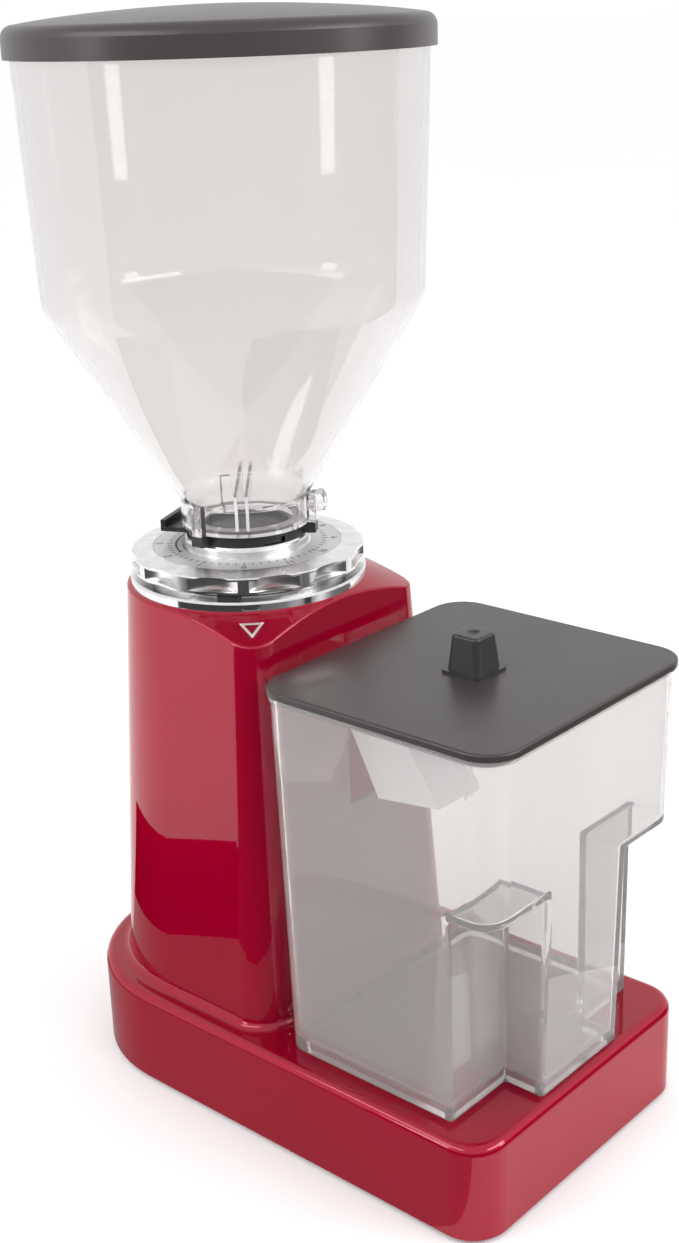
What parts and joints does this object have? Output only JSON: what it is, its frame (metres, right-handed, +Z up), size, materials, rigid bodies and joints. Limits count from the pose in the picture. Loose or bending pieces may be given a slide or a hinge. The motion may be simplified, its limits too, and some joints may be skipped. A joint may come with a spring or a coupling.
{
  "type": "burr coffee grinder",
  "caption": "Flat-burr coffee grinder with a red column and base, conical clear bean hopper, chrome adjusting dial and a clear sliding grounds container.",
  "frame": {"origin": "on the surface that the feet stand on, below the middle of the whole object's box; the burr axis is 52.4 mm behind it", "axes": "+Z up along the burr axis, -Y towards the grounds container at the front, +X to the right as seen from the front"},
  "size_m": [0.185, 0.2898, 0.496],
  "materials": {
    "red_paint": "metallic candy red under a gloss clear coat",
    "cover_steel": "plain zinc-plated sheet",
    "screw_steel": "zinc-plated",
    "rubber": "matt",
    "cast_aluminium": "as cast, machined seats",
    "silver_plastic": "silver-grey satin",
    "chrome": "bright",
    "black_plastic": "satin black",
    "white_mark": "white outline on red",
    "scale_aluminium": "fine turned, engraved scale",
    "burr_steel": "hardened steel",
    "lamination": "laminated electrical steel",
    "copper": "enamelled copper wire",
    "clear_plastic": "clear",
    "grey_plastic": "satin dark grey",
    "dark_plastic": "satin dark grey",
    "gloss_black": "gloss black",
    "capacitor_can": "pale",
    "white_plastic": "off white"
  },
  "bodies": {
    "frame": {"housing_base": "red_paint", "housing_column": "red_paint", "bottom_cover": "cover_steel", "cover_screws": "screw_steel", "rubber_feet": "rubber", "burr_chamber": "cast_aluminium", "chamber_screws": "screw_steel", "discharge_chute": "silver_plastic", "chute_screws": "screw_steel", "dial_seat_ring": "chrome", "seat_ring_screws": "screw_steel", "dial_stop_block": "black_plastic", "pointer_mark": "white_mark", "shaft_seal": "rubber", "motor_bell_upper": "cast_aluminium", "motor_bell_lower": "cast_aluminium", "bearing_upper": "screw_steel", "bearing_lower": "screw_steel", "stator_core": "lamination", "stator_windings": "copper", "motor_bolts": "screw_steel", "switch_body": "black_plastic", "cable_gland": "black_plastic", "gland_nut": "black_plastic", "run_capacitor": "capacitor_can", "capacitor_clip": "cover_steel", "terminal_block": "white_plastic"},
    "dial": {"adjusting_dial": "chrome", "dial_stop_pin": "screw_steel", "dial_scale_ring": "scale_aluminium", "hopper_collar": "black_plastic"},
    "burr_feed": {"upper_burr_carrier": "cast_aluminium", "upper_burr": "burr_steel", "upper_burr_screws": "screw_steel"},
    "rotor": {"motor_shaft": "burr_steel", "lower_burr_carrier": "cast_aluminium", "lower_burr": "burr_steel", "lower_burr_screws": "screw_steel", "burr_nut": "screw_steel", "rotor_core": "lamination", "cooling_fan": "black_plastic"},
    "gate": {"slide_gate": "black_plastic"},
    "hopper": {"hopper": "clear_plastic"},
    "hopper_lock": {"hopper_lock_knob": "clear_plastic"},
    "hopper_lid": {"hopper_lid": "grey_plastic"},
    "container": {"grounds_container": "clear_plastic"},
    "container_lid": {"container_lid": "grey_plastic", "lid_knob": "dark_plastic", "knob_screw": "screw_steel"},
    "rocker": {"power_rocker": "gloss_black"}
  },
  "joints": [
    {"name": "rotor_spin", "type": "hinge", "parent": "frame", "child": "rotor", "pos_m": [0, 0.0524, 0.12], "axis": [0, 0, 1], "continuous": true},
    {"name": "dial_turn", "type": "hinge", "parent": "frame", "child": "dial", "pos_m": [0, 0.0524, 0.25], "axis": [0, 0, 1], "range_deg": [-165, 165]},
    {"name": "burr_travel", "type": "slide", "parent": "dial", "child": "burr_feed", "axis": [0, 0, 1], "range_m": [-0.00069, 0.00069]},
    {"name": "gate_slide", "type": "slide", "parent": "dial", "child": "gate", "axis": [-0.3746, 0.9272, 0], "range_m": [0, 0.042]},
    {"name": "hopper_lift", "type": "slide", "parent": "dial", "child": "hopper", "axis": [0, 0, 1], "range_m": [0, 0.12]},
    {"name": "hopper_lock_turn", "type": "hinge", "parent": "hopper", "child": "hopper_lock", "pos_m": [0.03263, 0.03719, 0.2725], "axis": [0.9063, -0.4226, 0], "range_deg": [0, 720]},
    {"name": "hopper_lid_lift", "type": "slide", "parent": "hopper", "child": "hopper_lid", "axis": [0, 0, 1], "range_m": [0, 0.08]},
    {"name": "container_slide", "type": "slide", "parent": "frame", "child": "container", "axis": [0, -1, 0], "range_m": [0, 0.14]},
    {"name": "container_lid_lift", "type": "slide", "parent": "container", "child": "container_lid", "axis": [0, 0, 1], "range_m": [0, 0.06]},
    {"name": "rocker_tilt", "type": "hinge", "parent": "frame", "child": "rocker", "pos_m": [0.0755, -0.0576, 0.0255], "axis": [0, 0, 1], "range_deg": [0, 16]}
  ],
  "couplings": [
    {"joint": "burr_travel", "follows": "dial_turn", "m_per_rad": 0.00023873}
  ]
}
